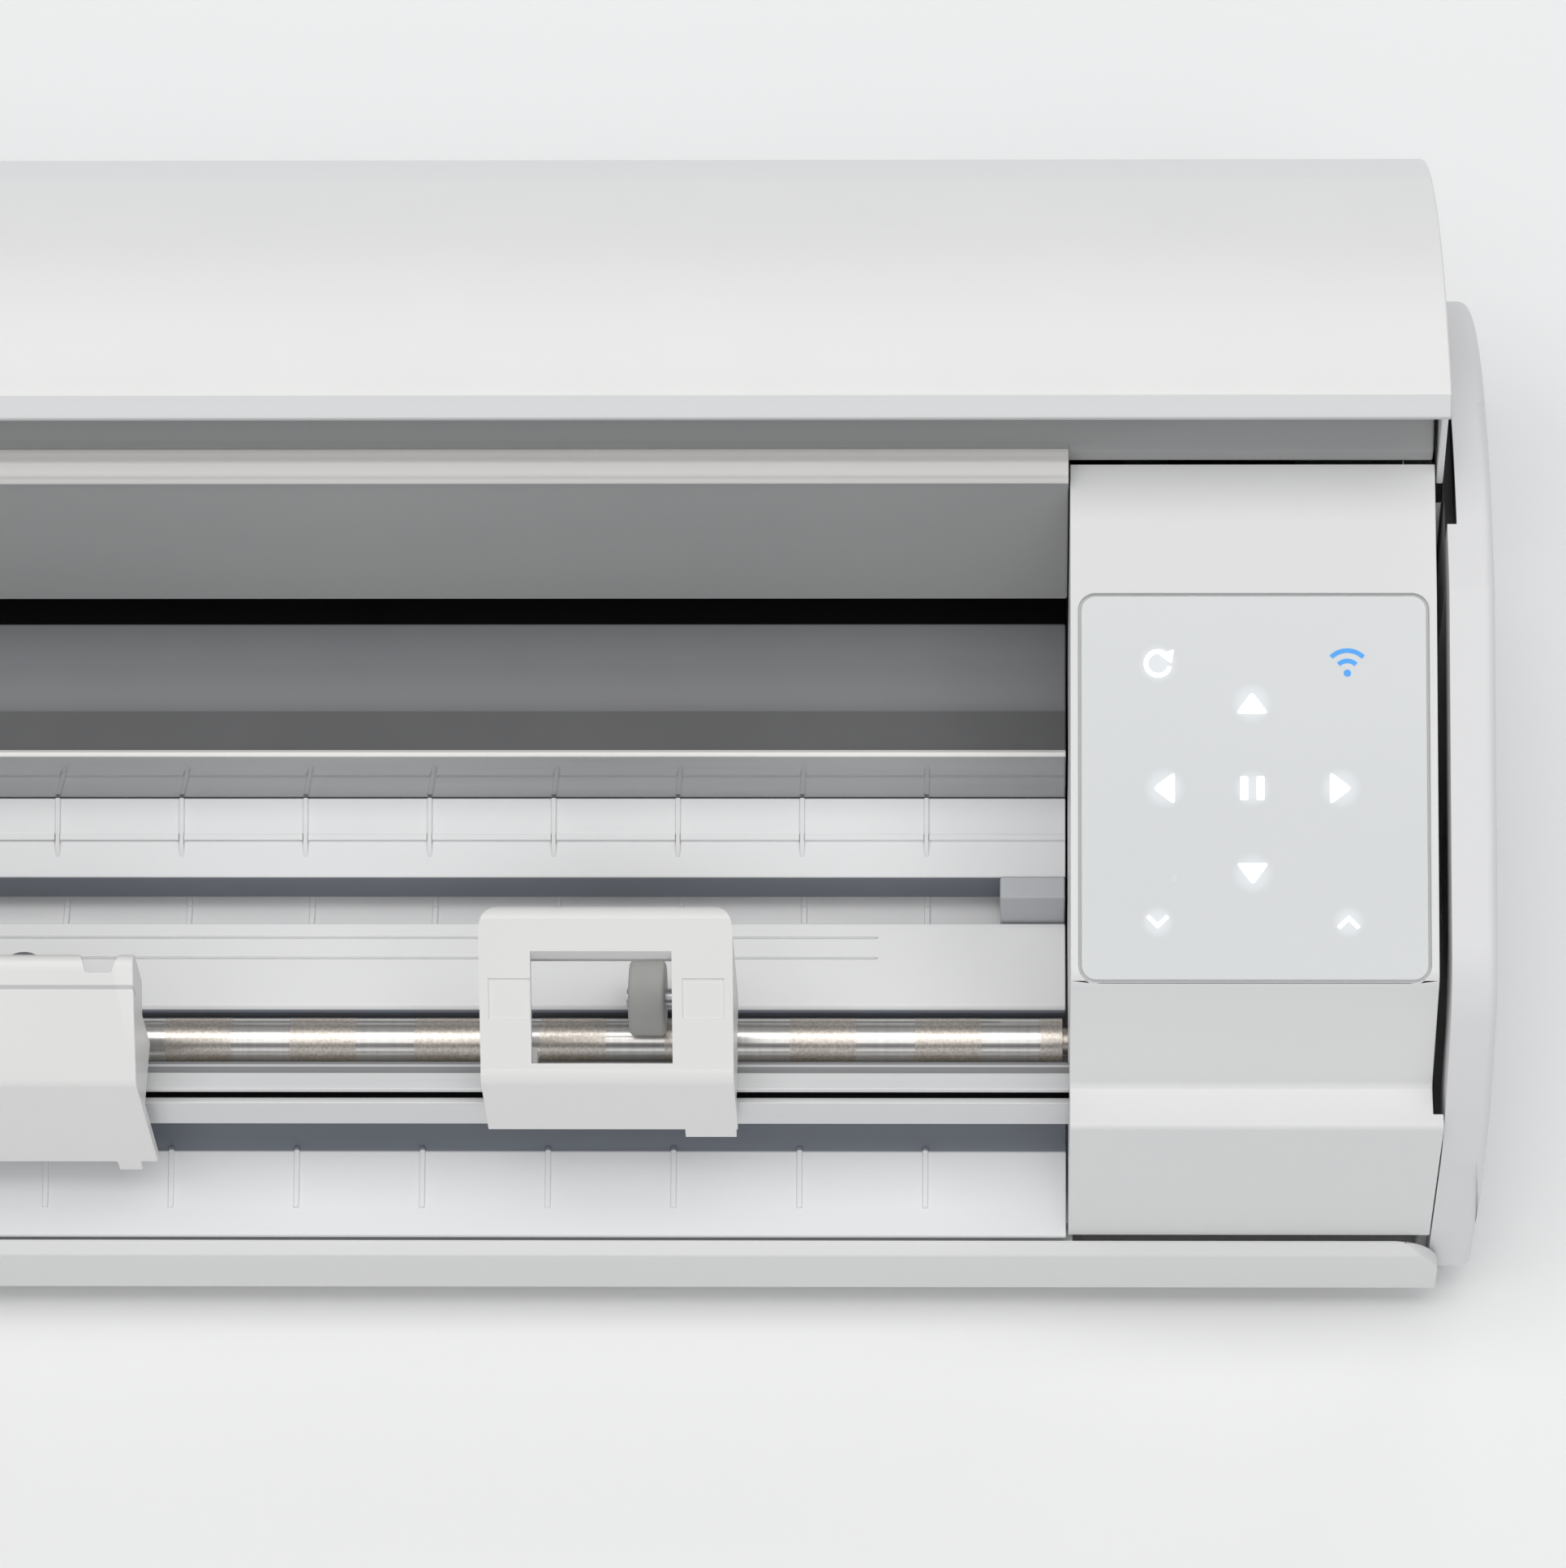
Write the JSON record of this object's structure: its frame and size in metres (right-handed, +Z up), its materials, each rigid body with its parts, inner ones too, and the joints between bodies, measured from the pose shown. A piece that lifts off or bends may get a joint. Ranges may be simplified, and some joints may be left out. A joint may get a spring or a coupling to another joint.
{
  "type": "vinyl cutter",
  "caption": "Desktop vinyl cutter with a curved lid that swings back, a tool carriage on a rail, pinch wheels over a grit roller, a touch panel and a roll-feed drawer.",
  "frame": {"origin": "on the floor, straight below the middle of the lid's hinge line, which is the middle of the base of the whole object's box with the lid open", "axes": "+X to the machine's right, +Y to the back, +Z up"},
  "size_m": [0.57, 0.2348, 0.1739],
  "materials": {
    "white_shell": "satin moulded plastic",
    "lid_white": "smooth satin plastic",
    "grey_inner": "fine textured moulded plastic",
    "bed_white": "satin moulded plastic",
    "glossy_strip": "high gloss",
    "touch_face": "smooth touch face with lit symbols",
    "rail_aluminium": "drawn and anodised",
    "grit_steel": "ground steel",
    "plate_steel": "zinc plated sheet",
    "wheel_rubber": "moulded grey rubber",
    "foot_rubber": "matt rubber",
    "belt_rubber": "toothed belt",
    "brass_bush": "sintered",
    "gear_plastic": "acetal",
    "motor_black": "black coated can",
    "board_green": "solder mask",
    "port_black": "moulded black",
    "tool_grey": "moulded dark grey",
    "screw_steel": "black zinc",
    "strip_white": "low friction strip"
  },
  "bodies": {
    "case": {"base_pan": "white_shell", "rubber_feet": "foot_rubber", "case_screws": "screw_steel", "chassis_plate": "plate_steel", "end_cap_left": "white_shell", "end_cap_right": "white_shell", "steel_side_plates": "plate_steel", "end_blocks": "grey_inner", "console_left": "white_shell", "console_right": "white_shell", "touch_panel": "touch_face", "rear_cover": "grey_inner", "rear_panel": "white_shell", "power_inlet": "port_black", "data_port": "port_black", "rear_guide": "grey_inner", "deck_riser": "glossy_strip", "rear_deck": "bed_white", "valley_floor": "bed_white", "landing": "bed_white", "front_tray": "bed_white", "cutting_strip": "strip_white", "carriage_rail": "rail_aluminium", "timing_belt": "belt_rubber", "shaft_bearings": "brass_bush", "feed_motor_bracket": "plate_steel", "feed_motor": "motor_black", "carriage_motor_bracket": "plate_steel", "idler_bracket": "plate_steel", "carriage_motor": "motor_black", "main_board": "board_green", "pinch_housing_left": "white_shell"},
    "lid": {"lid_shell": "lid_white", "lid_cheek_left": "lid_white", "lid_cheek_right": "lid_white", "lid_pivot_pins": "grit_steel"},
    "carriage": {"carriage_saddle": "plate_steel", "carriage_cover": "white_shell"},
    "tool_one": {"tool_holder_one": "tool_grey", "tool_barrel_one": "tool_grey"},
    "tool_two": {"tool_holder_two": "tool_grey", "tool_barrel_two": "tool_grey"},
    "clamp_one": {"clamp_lever_one": "tool_grey"},
    "clamp_two": {"clamp_lever_two": "tool_grey"},
    "grit_shaft": {"grit_roller": "grit_steel", "shaft_gear": "gear_plastic"},
    "pinion": {"motor_pinion": "grit_steel"},
    "drive_pulley": {"drive_pulley": "gear_plastic"},
    "idler_pulley": {"idler_pulley": "gear_plastic"},
    "pinch_carrier": {"pinch_housing_right": "white_shell"},
    "arm_left": {"pinch_arm_left": "plate_steel"},
    "arm_right": {"pinch_arm_right": "plate_steel"},
    "wheel_left": {"pinch_wheel_left": "wheel_rubber"},
    "wheel_right": {"pinch_wheel_right": "wheel_rubber"},
    "drawer": {"drawer_front": "white_shell", "drawer_tray": "white_shell"},
    "feed_front": {"feed_roller_front": "wheel_rubber"},
    "feed_rear": {"feed_roller_rear": "wheel_rubber"},
    "guide_left": {"roll_guide_left": "grey_inner"},
    "guide_right": {"roll_guide_right": "grey_inner"}
  },
  "joints": [
    {"name": "lid_hinge", "type": "hinge", "parent": "case", "child": "lid", "pos_m": [0, 0, 0.056], "axis": [1, 0, 0], "range_deg": [0, 77.7]},
    {"name": "carriage_slide", "type": "slide", "parent": "case", "child": "carriage", "axis": [1, 0, 0], "range_m": [-0.0816, 0.0674]},
    {"name": "tool_one_drop", "type": "slide", "parent": "carriage", "child": "tool_one", "axis": [0, 0, -1], "range_m": [0, 0.005], "stiffness_N_per_m": 150, "springref_m": -0.003},
    {"name": "tool_two_drop", "type": "slide", "parent": "carriage", "child": "tool_two", "axis": [0, 0, -1], "range_m": [0, 0.005], "stiffness_N_per_m": 150, "springref_m": -0.003},
    {"name": "clamp_one_turn", "type": "hinge", "parent": "tool_one", "child": "clamp_one", "pos_m": [-0.0398, -0.0838, 0.0604], "axis": [0, 1, 0], "range_deg": [0, 45]},
    {"name": "clamp_two_turn", "type": "hinge", "parent": "tool_two", "child": "clamp_two", "pos_m": [-0.0078, -0.0838, 0.0604], "axis": [0, 1, 0], "range_deg": [0, 45]},
    {"name": "grit_spin", "type": "hinge", "parent": "case", "child": "grit_shaft", "pos_m": [0, -0.0726, 0.037], "axis": [1, 0, 0], "continuous": true},
    {"name": "pinion_spin", "type": "hinge", "parent": "case", "child": "pinion", "pos_m": [-0.213, -0.0651, 0.04999], "axis": [1, 0, 0], "continuous": true},
    {"name": "drive_pulley_spin", "type": "hinge", "parent": "case", "child": "drive_pulley", "pos_m": [0.222, -0.095, 0.0575], "axis": [0, 1, 0], "continuous": true},
    {"name": "idler_pulley_spin", "type": "hinge", "parent": "case", "child": "idler_pulley", "pos_m": [-0.222, -0.095, 0.0575], "axis": [0, 1, 0], "continuous": true},
    {"name": "pinch_slide", "type": "slide", "parent": "case", "child": "pinch_carrier", "axis": [1, 0, 0], "range_m": [-0.065, 0.066]},
    {"name": "arm_left_lift", "type": "hinge", "parent": "case", "child": "arm_left", "pos_m": [-0.155, -0.0814, 0.076], "axis": [1, 0, 0], "range_deg": [0, 4], "stiffness_Nm_per_rad": 0.4, "springref_deg": -11.46},
    {"name": "arm_right_lift", "type": "hinge", "parent": "pinch_carrier", "child": "arm_right", "pos_m": [0.121, -0.0814, 0.076], "axis": [1, 0, 0], "range_deg": [0, 4], "stiffness_Nm_per_rad": 0.4, "springref_deg": -11.46},
    {"name": "wheel_left_spin", "type": "hinge", "parent": "arm_left", "child": "wheel_left", "pos_m": [-0.1662, -0.0689, 0.0498], "axis": [1, 0, 0], "continuous": true},
    {"name": "wheel_right_spin", "type": "hinge", "parent": "arm_right", "child": "wheel_right", "pos_m": [0.1098, -0.0689, 0.0498], "axis": [1, 0, 0], "continuous": true},
    {"name": "drawer_slide", "type": "slide", "parent": "case", "child": "drawer", "axis": [0, -1, 0], "range_m": [0, 0.09]},
    {"name": "feed_front_spin", "type": "hinge", "parent": "drawer", "child": "feed_front", "pos_m": [0, -0.0874, 0.0178], "axis": [1, 0, 0], "continuous": true},
    {"name": "feed_rear_spin", "type": "hinge", "parent": "drawer", "child": "feed_rear", "pos_m": [0, -0.0474, 0.0178], "axis": [1, 0, 0], "continuous": true},
    {"name": "guide_left_slide", "type": "slide", "parent": "drawer", "child": "guide_left", "axis": [1, 0, 0], "range_m": [0, 0.1]},
    {"name": "guide_right_slide", "type": "slide", "parent": "drawer", "child": "guide_right", "axis": [-1, 0, 0], "range_m": [0, 0.1]}
  ],
  "couplings": [
    {"joint": "pinion_spin", "follows": "grit_spin", "ratio": -1.5},
    {"joint": "wheel_left_spin", "follows": "grit_spin", "ratio": -0.625},
    {"joint": "wheel_right_spin", "follows": "grit_spin", "ratio": -0.625},
    {"joint": "drive_pulley_spin", "follows": "carriage_slide", "rad_per_m": 277.8},
    {"joint": "idler_pulley_spin", "follows": "carriage_slide", "rad_per_m": 277.8},
    {"joint": "feed_rear_spin", "follows": "feed_front_spin", "ratio": 1},
    {"joint": "guide_right_slide", "follows": "guide_left_slide", "ratio": 1}
  ]
}
